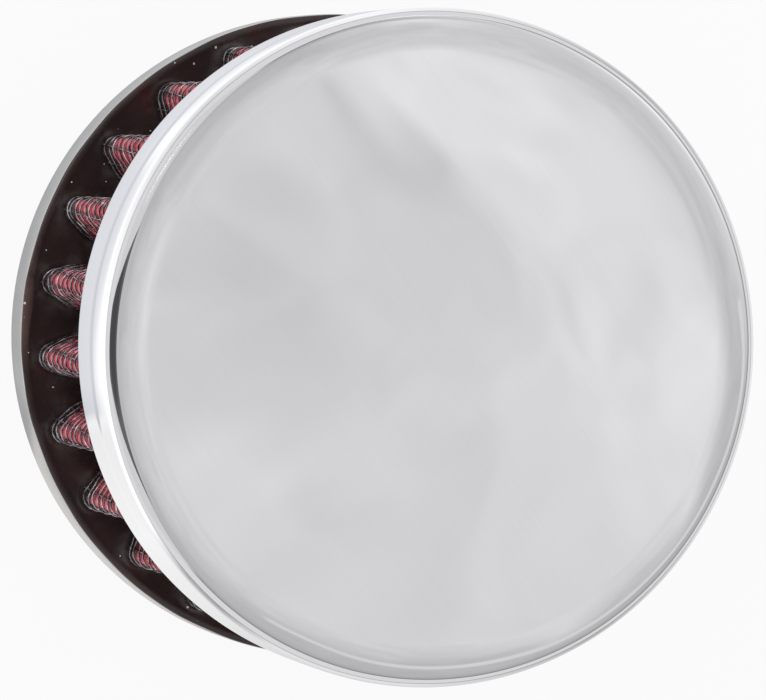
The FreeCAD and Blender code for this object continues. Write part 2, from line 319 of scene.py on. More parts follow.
def cottonGauze():
    # oiled cotton gauze, loosely woven: soft red cloth, matt, darkened along the wires as painted shade, and
    # darker where compound has soaked in
    material, tree, shader = newMaterial("oiled_woven_cotton_gauze", {"Sheen Weight": 0.08,
                                         "Specular IOR Level": 0.3})
    place = addNode(tree, "ShaderNodeTexCoord")
    soaked = wickLevel(tree, place)
    across = addNode(tree, "ShaderNodeUVMap", {"uv_map": "cloth"})  # in millimetres from the first wires
    gaps = []
    for direction, pitch, least in (("Y", screen["hoopPitch"] / mm, 0.0), ("X", strandPitch / mm, 0.35)):
        wave = addNode(tree, "ShaderNodeTexWave", {"bands_direction": direction, "Scale": waveStep / pitch},
                       {"Vector": (across, "UV")})
        gaps.append(addNode(tree, "ShaderNodeMapRange", {"From Min": 0.06, "From Max": 0.5, "To Min": least},
                            {"Value": (wave, "Fac")}))
    opening = addNode(tree, "ShaderNodeMath", {"operation": "MULTIPLY"},
                      {0: (gaps[0], "Result"), 1: (gaps[1], "Result")})
    oil = addNode(tree, "ShaderNodeTexNoise", {"Scale": 1 / (3.0 * mm), "Detail": 3.0},
                  {"Vector": (place, "Object")})
    red = addNode(tree, "ShaderNodeValToRGB", {"stops": [(0.3, hexLinear("#d8465a")),
                  (0.72, hexLinear("#f27883"))]}, {"Fac": (oil, "Fac")})
    # painted shade: the cloth is darkened towards the wires, where they shade it, and stays red in the middle
    # of each opening
    wireShade = addNode(tree, "ShaderNodeMix", {"data_type": "RGBA", 6: hexLinear("#7c2a35")},
                   {0: (opening, "Value"), 7: (red, "Color")})
    colour = addNode(tree, "ShaderNodeMix", {"data_type": "RGBA", 7: hexLinear("#2a1719")},
                     {0: (soaked, "Value"), 6: (wireShade, 2)})
    gloss = addNode(tree, "ShaderNodeMapRange", {"To Min": 0.7, "To Max": 0.3}, {"Value": (soaked, "Value")})
    threads = []
    for direction in ("X", "Y"):
        threads.append(addNode(tree, "ShaderNodeTexWave", {"bands_direction": direction,
                               "Scale": waveStep / threadPitch, "Distortion": 1.2, "Detail": 1.0},
                               {"Vector": (across, "UV")}))
    weave = addNode(tree, "ShaderNodeMath", {"operation": "ADD"},
                    {0: (threads[0], "Fac"), 1: (threads[1], "Fac")})
    bump = addNode(tree, "ShaderNodeBump", {"Strength": 0.5, "Distance": 0.08 * mm},
                   {"Height": (weave, "Value")})
    linkTo(tree, shader, {"Base Color": (colour, 2), "Roughness": (gloss, "Result"),
                          "Normal": (bump, "Normal")})
    return material


def screenWire():
    # drawn aluminium wire, lacquered: grey, semi-bright, with glints along each strand, partly painted into
    # its colour, and dark compound at the ends
    material, tree, shader = newMaterial("drawn_aluminium_wire", {})
    place = addNode(tree, "ShaderNodeTexCoord")
    soaked = wickLevel(tree, place)
    film = addNode(tree, "ShaderNodeTexNoise", {"Scale": 1 / (0.9 * mm), "Detail": 2.0},
                   {"Vector": (place, "Object")})
    # its tone varies at random, and the near-white top of this ramp is a painted glint
    grey = addNode(tree, "ShaderNodeValToRGB", {"stops": [(0.36, hexLinear("#504b50")),
                   (0.6, hexLinear("#b0abb0")), (0.74, hexLinear("#f0edf0"))]}, {"Fac": (film, "Fac")})
    stain = addNode(tree, "ShaderNodeMath", {"operation": "MULTIPLY", 1: 0.2}, {0: (soaked, "Value")})
    colour = addNode(tree, "ShaderNodeMix", {"data_type": "RGBA", 7: hexLinear("#3a3335")},
                     {0: (stain, "Value"), 6: (grey, "Color")})
    metal = addNode(tree, "ShaderNodeMapRange", {"To Min": 1.0, "To Max": 0.6}, {"Value": (soaked, "Value")})
    gloss = addNode(tree, "ShaderNodeMapRange", {"To Min": 0.14, "To Max": 0.34}, {"Value": (film, "Fac")})
    linkTo(tree, shader, {"Base Color": (colour, 2), "Metallic": (metal, "Result"),
                          "Roughness": (gloss, "Result")})
    return material


def pouredCompound():
    # poured plastisol: brown-black and wet-looking, with dust specks, grey bloom by the folds and a browner
    # thin film
    material, tree, shader = newMaterial("poured_plastisol", {"IOR": 1.5})
    place = addNode(tree, "ShaderNodeTexCoord")
    here = {"Vector": (place, "Object")}
    cloud = addNode(tree, "ShaderNodeTexNoise", {"Scale": 1 / (7 * mm), "Detail": 3.0}, here)
    smear = addNode(tree, "ShaderNodeTexNoise", {"Scale": 1 / (3 * mm), "Detail": 2.0}, here)
    deep = addNode(tree, "ShaderNodeValToRGB", {"stops": [(0.35, hexLinear("#2f2727")),
                   (0.62, hexLinear("#392b2b")), (0.75, hexLinear("#44201f"))]}, {"Fac": (cloud, "Fac")})
    colour = (deep, "Color")
    for name, tint, start in (("thinFilm", "#5f4b49", 0.3), ("bloom", "#5a5754", 0.48)):
        amount = addNode(tree, "ShaderNodeAttribute", {"attribute_name": name})
        patch = addNode(tree, "ShaderNodeMapRange", {"From Min": start, "From Max": start + 0.18},
                        {"Value": (smear, "Fac")})
        share = addNode(tree, "ShaderNodeMath", {"operation": "MULTIPLY"},
                        {0: (amount, "Fac"), 1: (patch, "Result")})
        mixed = addNode(tree, "ShaderNodeMix", {"data_type": "RGBA", 7: hexLinear(tint)},
                        {0: (share, "Value"), 6: colour})
        colour = (mixed, 2)
    specks = addNode(tree, "ShaderNodeTexVoronoi",
                     {"voronoi_dimensions": "2D", "Scale": 1 / (2.0 * mm)}, here)
    sizes = addNode(tree, "ShaderNodeSeparateColor", links={"Color": (specks, "Color")})
    reach = addNode(tree, "ShaderNodeMapRange", {"From Min": 0.74, "From Max": 1.0, "To Min": 0.0,
                    "To Max": 0.075}, {"Value": (sizes, "Red")})
    dust = addNode(tree, "ShaderNodeMath", {"operation": "LESS_THAN"},
                   {0: (specks, "Distance"), 1: (reach, "Result")})
    dusty = addNode(tree, "ShaderNodeMix", {"data_type": "RGBA", 7: hexLinear("#e6e2e0")},
                    {0: (dust, "Value"), 6: colour})
    gloss = addNode(tree, "ShaderNodeMapRange", {"To Min": 0.16, "To Max": 0.34}, {"Value": (cloud, "Fac")})
    ripples = addNode(tree, "ShaderNodeTexNoise", {"Scale": 1 / (2.5 * mm), "Detail": 2.0}, here)
    bump = addNode(tree, "ShaderNodeBump", {"Strength": 0.4, "Distance": 0.08 * mm},
                   {"Height": (ripples, "Fac")})
    linkTo(tree, shader, {"Base Color": (dusty, 2), "Roughness": (gloss, "Result"),
                          "Normal": (bump, "Normal")})
    return material


chrome = chromePlate()
steel = satinSteel()
gauze = cottonGauze()
wire = screenWire()
compound = pouredCompound()
print("materials made")

# end cap: one drawn sheet with a straight skirt, a rounded corner, a shoulder and a low crown
cap = {"sheet": 0.8 * mm, "skirt": 11.2 * mm, "corner": 1.8 * mm, "shoulder": 24.0 * mm,
       "crownSlope": 2.4, "shoulderSlope": 11.0, "edge": 0.25 * mm, "land": 6.8 * mm, "crease": 0.065 * mm,
       "segments": 320, "edgeSteps": 4, "landRings": 5, "wallRings": 6, "cornerSteps": 15,
       "shoulderSteps": 9, "crownRings": 40, "innerRings": 8}
wallTop = skirtEdge + cap["skirt"]


def capSkin(depth, rings):  # corner, shoulder and crown up to the axis, at a depth in the sheet
    steep, gentle = math.radians(cap["shoulderSlope"]), math.radians(cap["crownSlope"])
    cornerEnd, shoulderEnd = 90 - cap["shoulderSlope"], 90 - cap["crownSlope"]
    cornerAt = (capRadius - cap["corner"], wallTop)
    lever = cap["shoulder"] - cap["corner"]
    shoulderAt = (cornerAt[0] - lever * math.sin(steep), cornerAt[1] - lever * math.cos(steep))
    crown = shoulderAt[0] / math.sin(gentle) + cap["shoulder"]
    crownAt = (0.0, shoulderAt[1] - (crown - cap["shoulder"]) * math.cos(gentle))
    skin = arcPoints(cornerAt, cap["corner"] - depth, 0, cornerEnd, cap["cornerSteps"])
    skin += arcPoints(shoulderAt, cap["shoulder"] - depth, cornerEnd, shoulderEnd, cap["shoulderSteps"])[1:]
    skin += arcPoints(crownAt, crown - depth, shoulderEnd, 90, rings)[1:-1]
    return skin + [(0.0, crownAt[1] + crown - depth)]


def buildCap():
    inner = capRadius - cap["sheet"]
    edge = cap["edge"]
    trimmed, land = capRadius - cap["crease"], skirtEdge + cap["land"]  # trimmed land, ending in a faint step
    outline = arcPoints((inner + edge, skirtEdge + edge), edge, 180, 270, cap["edgeSteps"])
    outline += arcPoints((trimmed - edge, skirtEdge + edge), edge, 270, 360, cap["edgeSteps"])
    outline += runPoints((trimmed, skirtEdge + 2 * edge), (trimmed, land - edge), cap["landRings"])
    outline += [(trimmed, land - edge)]
    outline += runPoints((capRadius, land + edge), (capRadius, wallTop), cap["wallRings"])
    outline += capSkin(0, cap["crownRings"])
    outline += capSkin(cap["sheet"], cap["innerRings"])[::-1]
    return makePiece("cap_shell", *lathe(outline, cap["segments"]), chrome)


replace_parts(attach(buildCap(), "root"), "end_cap")
print("end cap made")

# base pan: a pressed pan with a low wall and a hole for the neck
pan = {"sheet": 0.8 * mm, "corner": 1.0 * mm, "hole": 17.155 * mm, "edge": 0.25 * mm, "film": 0.1 * mm,
       "segments": 256, "floorRings": 10, "bendSteps": 10, "edgeSteps": 5, "innerSteps": 8}


def buildPan():
    corner, sheet, edge = pan["corner"], pan["sheet"], pan["edge"]
    bendAt = (panRadius - corner, panFloor + corner)
    wall = panRadius - sheet
    brim = panRim - pan["film"] - edge  # the compound lies over the brim as a thin film
    outline = runPoints((pan["hole"], panFloor), (panRadius - corner, panFloor), pan["floorRings"])
    outline += arcPoints(bendAt, corner, -90, 0, pan["bendSteps"])
    outline += arcPoints((panRadius - edge, brim), edge, 0, 90, pan["edgeSteps"])
    outline += arcPoints((wall + edge, brim), edge, 90, 180, pan["edgeSteps"])
    outline += arcPoints(bendAt, corner - sheet, 0, -90, pan["innerSteps"])
    outline += [(pan["hole"], panFloor + sheet)]
    return makePiece("base_shell", *lathe(outline, pan["segments"]), steel)


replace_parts(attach(buildPan(), "root"), "base_pan")

# neck: a drawn tube, beaded under the pan and flanged above its floor
neck = {"bore": 15.875 * mm, "sheet": 1.2 * mm, "bead": 1.1 * mm, "gap": 0.04 * mm, "mouth": 1.6 * mm,
        "edge": 0.3 * mm, "segments": 192, "edgeSteps": 4, "wallRings": 6, "beadSteps": 14, "mouthSteps": 9}


def buildNeck():
    inside, outside = neck["bore"], neck["bore"] + neck["sheet"]
    bead, edge, mouth = neck["bead"], neck["edge"], neck["mouth"]
    beadAt = (outside, panFloor - neck["gap"] - bead)
    flange = neckHigh.x
    seat = neckHigh.z - neck["sheet"]
    outline = arcPoints((inside + edge, edge), edge, 180, 270, neck["edgeSteps"])
    outline += arcPoints((outside - edge, edge), edge, 270, 360, neck["edgeSteps"])
    outline += runPoints((outside, 2 * edge), (outside, beadAt[1] - bead), neck["wallRings"])
    outline += arcPoints(beadAt, bead, -90, 90, neck["beadSteps"])
    outline += [(outside, seat), (flange, seat), (flange, neckHigh.z)]
    outline += arcPoints((inside + mouth, neckHigh.z - mouth), mouth, 90, 180, neck["mouthSteps"])
    return makePiece("neck_shell", *lathe(outline, neck["segments"]), steel)


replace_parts(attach(buildNeck(), "root"), "neck_tube")
print("pan and neck made")


# wires of the screens, as the dictionary above gives them
def tube(path, outward, closed):  # round wire along a path, given a direction out of the screen at each point
    path, sides = np.array(path), screen["sides"]
    ahead = np.roll(path, -1, axis=0) - np.roll(path, 1, axis=0)
    if not closed:
        ahead[0], ahead[-1] = path[1] - path[0], path[-1] - path[-2]
    ahead /= np.linalg.norm(ahead, axis=1)[:, None]
    aside = np.cross(ahead, outward)
    aside /= np.linalg.norm(aside, axis=1)[:, None]
    outward = np.cross(aside, ahead)
    rings = []
    for k in range(sides):
        a = tau * k / sides
        rings.append(path + screen["wire"] / 2 * (math.cos(a) * outward + math.sin(a) * aside))
    points = np.stack(rings, axis=1).reshape(-1, 3)
    faces = ringFaces(len(path), sides, closed)
    if not closed:
        faces += [tuple(range(sides))[::-1], tuple(range(len(points) - sides, len(points)))]
    return points, faces


def joinParts(parts):
    points, faces, base = [], [], 0
    for somePoints, someFaces in parts:
        points.append(somePoints)
        faces += [tuple(base + i for i in f) for f in someFaces]
        base += len(somePoints)
    return np.concatenate(points), faces


def atRun(places, normals, run, length, wanted):  # place and normal at given lengths along the closed outline
    wanted = np.mod(wanted, length)
    grid = np.append(run, length)
    found = [np.interp(wanted, grid, np.append(column, column[0])) for column in (*places.T, *normals.T)]
    normal = np.stack(found[2:], axis=1)
    return np.stack(found[:2], axis=1), normal / np.linalg.norm(normal, axis=1)[:, None]


def buildHoops(screenDepth, crimp, steps):
    places, normals, run, length = pleatOutline(*steps)
    outward = np.column_stack([normals, np.zeros(len(run))])
    parts = []
    for hoop in range(hoopCount):
        drift = ripple(tau * run / length, screen["hoopWaves"]) * screen["wander"] / 2
        height = hoopFirst + hoop * screen["hoopPitch"] + drift
        crossing = strandCount * run / length - height * skewSlope / strandPitch
        depth = screenDepth + crimp * np.cos(math.pi * (crossing + hoop))
        path = np.column_stack([places - normals * depth[:, None],
                                np.clip(height, screenLow.z, screenHigh.z)])
        parts.append(tube(sway(path), outward, True))
    return joinParts(parts)


def buildStrands(screenDepth, crimp, step):
    places, normals, run, length = pleatOutline(*screen["strandSteps"])
    heights = np.linspace(screenLow.z, screenHigh.z, int((screenHigh.z - screenLow.z) / step) + 1)
    parts = []
    for strand in range(strandCount):
        phase, lean = dice.uniform(0, tau), dice.uniform(-1, 1) * screen["wander"]
        bend = lean * np.sin(heights / screen["wanderLength"] + phase)
        flat, normal = atRun(places, normals, run, length, strand * strandPitch + heights * skewSlope + bend)
        crossing = (heights - hoopFirst) / screen["hoopPitch"]
        depth = screenDepth - crimp * np.cos(math.pi * (crossing + strand))
        path = np.column_stack([flat - normal * depth[:, None], heights])
        parts.append(tube(sway(path), np.column_stack([normal, np.zeros(len(heights))]), False))
    return joinParts(parts)


outerMiddle = pleat["screenPly"] / 2
innerMiddle = plies - pleat["screenPly"] / 2
outerHoops = buildHoops(outerMiddle - screen["crimp"] / 2, screen["crimp"], screen["hoopSteps"])
outerStrands = buildStrands(outerMiddle + screen["under"], screen["crimp"], screen["strandStep"])
for name, made in (("screen_hoops", outerHoops), ("screen_strands", outerStrands)):
    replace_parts(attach(makePiece(name, *made, wire), "root"), "outer_screen")
innerHoops = buildHoops(innerMiddle, 0.0, screen["innerSteps"])
innerStrands = buildStrands(innerMiddle, 0.0, screen["innerStep"])
for name, made in (("inner_hoops", innerHoops), ("inner_strands", innerStrands)):
    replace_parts(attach(makePiece(name, *made, wire), "root"), "inner_screen")
print("screens made:", hoopCount, "hoops")

# gauze: cloth that sits back from the wires and puffs out a little through each opening of the screen
cloth = {"puff": 0.34 * mm, "flatShare": 0.4, "back": 0.12 * mm, "rows": 72, "steps": (16, 12, 6),
         "backRows": 8, "cut": (37.5 * mm, 505 * mm)}


def buildGauze():
    places, normals, run, length = pleatOutline(*cloth["steps"])
    count = len(run)
    rows = []
    for height in np.linspace(screenLow.z, screenHigh.z, cloth["rows"]):
        between = np.sin(math.pi * (strandCount * run / length - height * skewSlope / strandPitch)) ** 2
        above = math.sin(math.pi * (height - hoopFirst) / screen["hoopPitch"]) ** 2
        puff = cloth["puff"] * (cloth["flatShare"] + (1 - cloth["flatShare"]) * between) * above
        depth = gauzeDepth + cloth["back"] - puff
        rows.append(np.column_stack([places - normals * depth[:, None], np.full(count, height)]))
    back = places - normals * (gauzeDepth + pleat["gauzePly"])
    for height in np.linspace(screenHigh.z, screenLow.z, cloth["backRows"]):
        rows.append(np.column_stack([back, np.full(count, height)]))
    piece = makePiece("gauze_folds", sway(np.concatenate(rows)), ringFaces(len(rows), count), gauze)
    levels = [row[0, 2] for row in rows]
    ends = np.append(run[1:], length)
    marks = []
    for low, high in zip(levels, levels[1:] + levels[:1]):
        for start, end in zip(run, ends):
            for along, level in ((start, low), (end, low), (end, high), (start, high)):
                marks += [(along * foldLength / length - level * skewSlope) / mm, (level - hoopFirst) / mm]
    piece.data.uv_layers.new(name="cloth").data.foreach_set("uv", marks)
    return piece


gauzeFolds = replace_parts(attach(buildGauze(), "root"), "gauze_pleats")
print("gauze made")

# poured compound: it climbs a little where it wets the sheet and the pleats, and runs over the pan's brim;
# wallRings are in millimetres from the wall
pour = {"climb": 0.28 * mm, "reach": 0.3 * mm, "bloom": 0.9 * mm, "swell": 0.1 * mm, "swellWaves": (4, 7, 13),
        "spokes": 26, "rings": 44, "pleatSteps": (15, 10, 7), "pleatSpan": 16 * mm,
        "pleatMiddle": (7 * mm, 3 * mm), "wallBand": 1.4 * mm, "wallReach": 1.0 * mm, "wallClimb": 0.8,
        "wallRings": (1.0, 0.7, 0.45, 0.25, 0.1, 0.0),
        "brimStart": 0.2 * mm, "brimFlat": 0.35 * mm, "brimEdge": 0.12 * mm, "brimDrop": 0.05 * mm,
        "lipDrop": 0.22 * mm, "ragged": 0.018 * mm, "raggedWaves": (9, 17, 31),
        "film": 0.4 * mm, "filmAt": -94.9, "filmHug": 150, "filmFade": 0.2 * mm, "fray": 0.5,
        "frayWaves": (5, 11, 19), "brimFilm": 1.3, "brimTint": 0.12,
        "gap": 0.04 * mm, "lipUnder": 0.3 * mm, "bend": 0.2 * mm, "hub": 0.4 * mm,
        "capBend": (1.5 * mm, 0.8 * mm)}


def pourSurface(level, side, inner, outer, brim):
    # polar grid of the free surface, with its film and bloom; side is 1 where the compound climbs up and -1
    # where it hangs, and brim is the level it runs over
    places, normals = pleatOutline(*pour["pleatSteps"])[:2]
    folds = np.concatenate([places, places - normals * plies])
    turns = np.arange(pour["spokes"] * pleat["count"]) * tau / (pour["spokes"] * pleat["count"])
    oneTurn = turns[:pour["spokes"]]
    radii = np.concatenate([np.linspace(inner, outer - pour["wallBand"], pour["rings"]),
                            outer - np.array(pour["wallRings"]) * mm])
    toWall = (outer - radii)[:, None]
    flat = np.stack([np.outer(radii, np.cos(oneTurn)), np.outer(radii, np.sin(oneTurn))], axis=-1)
    firstPleat = np.array([pleat["root"] + pour["pleatMiddle"][0], pour["pleatMiddle"][1]])
    near = folds[np.hypot(*(folds - firstPleat).T) < pour["pleatSpan"]]
    toPleat = np.linalg.norm(flat[:, :, None] - near[None, None], axis=-1).min(axis=2)
    atWall = abs(brim - level) if brim else pour["wallClimb"] * pour["climb"]
    rise = pour["climb"] * np.exp(-toPleat / pour["reach"]) + atWall * np.exp(-toWall / pour["wallReach"])
    rise = np.tile(rise, (1, pleat["count"]))
    bloom = np.tile(np.exp(-toPleat / pour["bloom"]), (1, pleat["count"]))
    uneven = ripple(turns, pour["swellWaves"]) * pour["swell"] / 3
    heights = level + side * (rise + uneven[None, :] * np.clip(toWall / mm, 0, 1))
    points = np.stack([np.outer(radii, np.cos(turns)), np.outer(radii, np.sin(turns)), heights], axis=-1)
    film = np.zeros_like(bloom)
    if brim:
        patch = np.clip(np.cos(turns - math.radians(pour["filmAt"])), 0, 1) ** pour["filmHug"]
        frayed = ripple(turns, pour["frayWaves"]) / 3
        wide = pour["film"] * patch * (1 + pour["fray"] * frayed)
        film = np.clip((wide[None, :] - toWall) / pour["filmFade"], 0, 1)
        overBrim = np.clip(pour["brimFilm"] * patch + pour["brimTint"] + pour["brimTint"] * frayed, 0, 1)
        ragged = ripple(turns, pour["raggedWaves"]) * pour["ragged"]
        rows = [ringAt(outer + pour["brimStart"], turns, brim),
                ringAt(panRadius - pour["brimFlat"], turns, brim),
                ringAt(panRadius - pour["brimEdge"] + ragged, turns, brim - pour["brimDrop"]),
                ringAt(panRadius - pour["brimEdge"] / 2 + ragged, turns, brim - pour["lipDrop"])]
        points = np.concatenate([points, np.stack(rows)])
        bloom = np.concatenate([bloom, np.zeros((len(rows), len(turns)))])
        film = np.concatenate([film, np.tile(overBrim, (len(rows), 1))])
    return points, film, bloom


def buildPour(name, surface, film, bloom, rest, side):
    # closes the free surface with its hidden walls, as (r, z) from its outer edge back to its inner edge
    rows, spokes = surface.shape[:2]
    turns = np.arange(spokes) * tau / spokes
    hidden = [ringAt(r, turns, z) for r, z in rest]
    points = np.concatenate([sway(surface.reshape(-1, 3))] + hidden)
    quads = ringFaces(rows + len(rest), spokes)
    faces = [(a, d, c, b) if side > 0 else (b, c, d, a) for a, b, c, d in quads]
    piece = makePiece(name, points, faces, compound)
    for key, share in (("thinFilm", film), ("bloom", bloom)):
        layer = piece.data.attributes.new(key, "FLOAT", "POINT")
        layer.data.foreach_set("value", np.concatenate([share.ravel(), np.zeros(len(rest) * spokes)]))
    return piece


baseInner, baseOuter, baseFloor = neckHigh.x + pour["gap"], basePourHigh.x, basePourLow.z
basePotting = buildPour("base_pour", *pourSurface(basePour, 1, baseInner, baseOuter, panRim),
                        [(baseOuter, panRim - pour["lipUnder"]), (baseOuter, baseFloor + pour["bend"]),
                         (baseOuter - pour["bend"], baseFloor), (baseInner, baseFloor)], 1)
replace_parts(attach(basePotting, "root"), "base_potting")
capOuter, capTop = capPourHigh.x, wallTop + pour["capBend"][1]
capPotting = buildPour("cap_pour", *pourSurface(capPour, -1, pour["hub"], capOuter, None),
                       [(capOuter, wallTop), (capOuter - pour["capBend"][0], capTop),
                        (pour["hub"], capTop)], -1)
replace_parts(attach(capPotting, "root"), "cap_potting")
print("compound made")

# camera, from the ellipses of the cap and the base in the photograph; across, down and away are in cap radii,
# to the middle of the skirt's edge
view = {"lens": 265.6, "sensor": 36.0, "tilt": 16.42, "roll": 7.5, "azimuth": -97.6,
        "across": 0.0614, "down": -0.0172, "away": 16.88, "clip": 10}


def buildCamera():
    tilt, roll, turn = (math.radians(view[key]) for key in ("tilt", "roll", "azimuth"))
    towards = Vector((math.cos(turn), math.sin(turn), 0))
    beside = upward.cross(towards)
    forward = -math.sin(tilt) * towards - math.cos(tilt) * upward
    axis = math.sin(tilt) * upward - math.cos(tilt) * towards
    right = math.cos(roll) * axis - math.sin(roll) * beside
    down = math.sin(roll) * axis + math.cos(roll) * beside
    data = bpy.data.cameras.new("camera")
    data.lens = view["lens"]
    data.sensor_width = view["sensor"]
    data.clip_end = view["clip"]
    camera = bpy.data.objects.new("camera", data)
    spot = skirtCentre - capRadius * (view["across"] * right + view["down"] * down + view["away"] * forward)
    turned = Matrix((right, -down, -forward)).transposed().to_4x4()
    camera.matrix_world = Matrix.Translation(spot) @ turned
    bpy.context.scene.collection.objects.link(camera)
    bpy.context.scene.camera = camera
    return towards, beside


towards, beside = buildCamera()  # level directions, to the camera's side of the part and across it
print("camera placed")

# studio: white surround and a white table. Metal sees more in the table, as a painted reflection that the
# camera does not see: tones by distance from a point under the part, darkest near it as painted shadow, a
# fade by distance from the part, and light by bearing, near the part and far from it.
# Distances of tones are in millimetres, bearings in degrees from the camera's side.
studio = {"ambient": 0.9, "floorSize": 6.0, "floorShare": 0.9, "floorDrop": 0.2 * mm, "matt": "#f7f7f7",
          "mirrorShadeAt": 6.7 * mm, "mirrorShadeEdge": 22 * mm, "mirrorShadeEnd": "#ffffff", "mirrorShadeReach": 100,
          "mirrorShade": [(34.0, "#b9bbc0"), (44.5, "#d7d9dd"), (46.1, "#d9dbdf"), (46.75, "#ffffff"),
                    (100.0, "#ffffff")],
          "fade": [(320.0, "#ffffff"), (550.0, "#e2e2e4"), (950.0, "#b4b4b6")], "fadeReach": 1000,
          "nearLight": [(-180, 0.9), (-60, 1.2), (18, 1.2), (30, 0.97), (56, 1.04), (81, 0.88), (100, 0.72),
                        (180, 0.9)],
          "farLight": [(-180, 0.95), (-160, 0.9), (-135, 0.55), (-110, 0.9), (-85, 1.15), (-47, 0.82),
                       (5, 1.34), (20, 1.45), (46, 1.38), (60, 0.5), (70, 0.45), (83, 0.93), (110, 0.9),
                       (140, 0.5), (165, 0.9), (180, 0.95)],
          "nearEnd": 60 * mm, "farStart": 160 * mm, "lightMost": 2.0}


def whiteSurround():  # white to the camera and to metal, a little lower as the light on everything else
    world = bpy.data.worlds.new("studio")
    bpy.context.scene.world = world
    tree = emptyTree(world)
    path = addNode(tree, "ShaderNodeLightPath")
    seen = addNode(tree, "ShaderNodeMath", {"operation": "ADD"},
                   {0: (path, "Is Camera Ray"), 1: (path, "Is Glossy Ray")})
    seen = addNode(tree, "ShaderNodeMath", {"operation": "ADD", "use_clamp": True},
                   {0: (seen, "Value"), 1: (path, "Is Transmission Ray")})
    level = addNode(tree, "ShaderNodeMapRange", {"To Min": studio["ambient"], "To Max": 1.0},
                    {"Value": (seen, "Value")})
    light = addNode(tree, "ShaderNodeBackground", links={"Strength": (level, "Result")})
    addNode(tree, "ShaderNodeOutputWorld", links={"Surface": (light, "Background")})


def paleFloor():
    material = bpy.data.materials.new("pale_floor")
    tree = emptyTree(material)
    path = addNode(tree, "ShaderNodeLightPath")
    place = addNode(tree, "ShaderNodeTexCoord")

    # tones for reflections only: painted shade round a point under the part, white past a straight edge at
    # one side, times the fade
    fromMirrorShade = addNode(tree, "ShaderNodeVectorMath", {"operation": "DISTANCE",
                        1: studio["mirrorShadeAt"] * towards}, {0: (place, "Object")})
    fromPart = addNode(tree, "ShaderNodeVectorMath", {"operation": "LENGTH"}, {0: (place, "Object")})
    tones = []
    for span, key in ((fromMirrorShade, "mirrorShade"), (fromPart, "fade")):
        reach = studio[key + "Reach"]
        share = addNode(tree, "ShaderNodeMath", {"operation": "DIVIDE", 1: reach * mm}, {0: (span, "Value")})
        stops = [(out / reach, hexLinear(code)) for out, code in studio[key]]
        tones.append(addNode(tree, "ShaderNodeValToRGB", {"stops": stops}, {"Fac": (share, "Value")}))
    across = addNode(tree, "ShaderNodeVectorMath", {"operation": "DOT_PRODUCT", 1: beside},
                     {0: (place, "Object")})
    past = addNode(tree, "ShaderNodeMapRange", {"From Min": studio["mirrorShadeEdge"] - mm,
                   "From Max": studio["mirrorShadeEdge"] + mm}, {"Value": (across, "Value")})
    mirrorShade = addNode(tree, "ShaderNodeMix", {"data_type": "RGBA", "blend_type": "LIGHTEN",
                    7: hexLinear(studio["mirrorShadeEnd"])}, {0: (past, "Result"), 6: (tones[0], "Color")})
    mirrorTones = addNode(tree, "ShaderNodeMix", {"data_type": "RGBA", "blend_type": "MULTIPLY", 0: 1.0},
                    {6: (mirrorShade, 2), 7: (tones[1], "Color")})
    # painted reflection: glossy rays see the shaded tones, and the camera sees plain white
    colour = addNode(tree, "ShaderNodeMix", {"data_type": "RGBA", 6: hexLinear("#ffffff")},
                     {0: (path, "Is Glossy Ray"), 7: (mirrorTones, 2)})

    # light by bearing: a ramp stops at 1, so it holds each level as a share of the most
    ahead = addNode(tree, "ShaderNodeMapping", {"vector_type": "TEXTURE",
                    "Rotation": (0, 0, math.atan2(towards.y, towards.x))}, {"Vector": (place, "Object")})
    bearing = addNode(tree, "ShaderNodeTexGradient", {"gradient_type": "RADIAL"},
                      {"Vector": (ahead, "Vector")})
    most = studio["lightMost"]
    zones = []
    for key in ("nearLight", "farLight"):
        stops = [(0.5 + turn / 360, [level / most] * 3 + [1]) for turn, level in studio[key]]
        zones.append(addNode(tree, "ShaderNodeValToRGB", {"stops": stops}, {"Fac": (bearing, "Fac")}))
    away = addNode(tree, "ShaderNodeMapRange", {"From Min": studio["nearEnd"],
                   "From Max": studio["farStart"]}, {"Value": (fromPart, "Value")})
    zone = addNode(tree, "ShaderNodeMix", {"data_type": "RGBA"},
                   {0: (away, "Result"), 6: (zones[0], "Color"), 7: (zones[1], "Color")})
    over = addNode(tree, "ShaderNodeMath", {"operation": "MULTIPLY_ADD", 1: most, 2: -1.0}, {0: (zone, 2)})
    level = addNode(tree, "ShaderNodeMath", {"operation": "MULTIPLY_ADD", 2: 1.0},
                    {0: (over, "Value"), 1: (path, "Is Glossy Ray")})

    # a glow where it is seen, matt where it only lights the part, and nothing from below
    glow = addNode(tree, "ShaderNodeEmission", links={"Color": (colour, 2), "Strength": (level, "Value")})
    matt = addNode(tree, "ShaderNodeBsdfDiffuse", {"Color": hexLinear(studio["matt"])})
    seen = addNode(tree, "ShaderNodeMath", {"operation": "MAXIMUM"},
                   {0: (path, "Is Camera Ray"), 1: (path, "Is Glossy Ray")})
    share = addNode(tree, "ShaderNodeMath", {"operation": "MULTIPLY", 1: studio["floorShare"]},
                    {0: (seen, "Value")})
    lit = addNode(tree, "ShaderNodeMixShader", links={0: (share, "Value"), 1: (matt, "BSDF"),
                                                      2: (glow, "Emission")})
    face = addNode(tree, "ShaderNodeNewGeometry")
    under = addNode(tree, "ShaderNodeMath", {"operation": "MULTIPLY"},
                    {0: (face, "Backfacing"), 1: (path, "Is Camera Ray")})
    clear = addNode(tree, "ShaderNodeBsdfTransparent")
    sheet = addNode(tree, "ShaderNodeMixShader", links={0: (under, "Value"), 1: (lit, "Shader"),
                                                        2: (clear, "BSDF")})
    addNode(tree, "ShaderNodeOutputMaterial", links={"Surface": (sheet, "Shader")})
    half = studio["floorSize"] / 2
    corners = [(-half, -half, 0), (half, -half, 0), (half, half, 0), (-half, half, 0)]
    floor = makePiece("floor", corners, [(0, 1, 2, 3)], material, False)
    floor.location.z = -studio["floorDrop"]


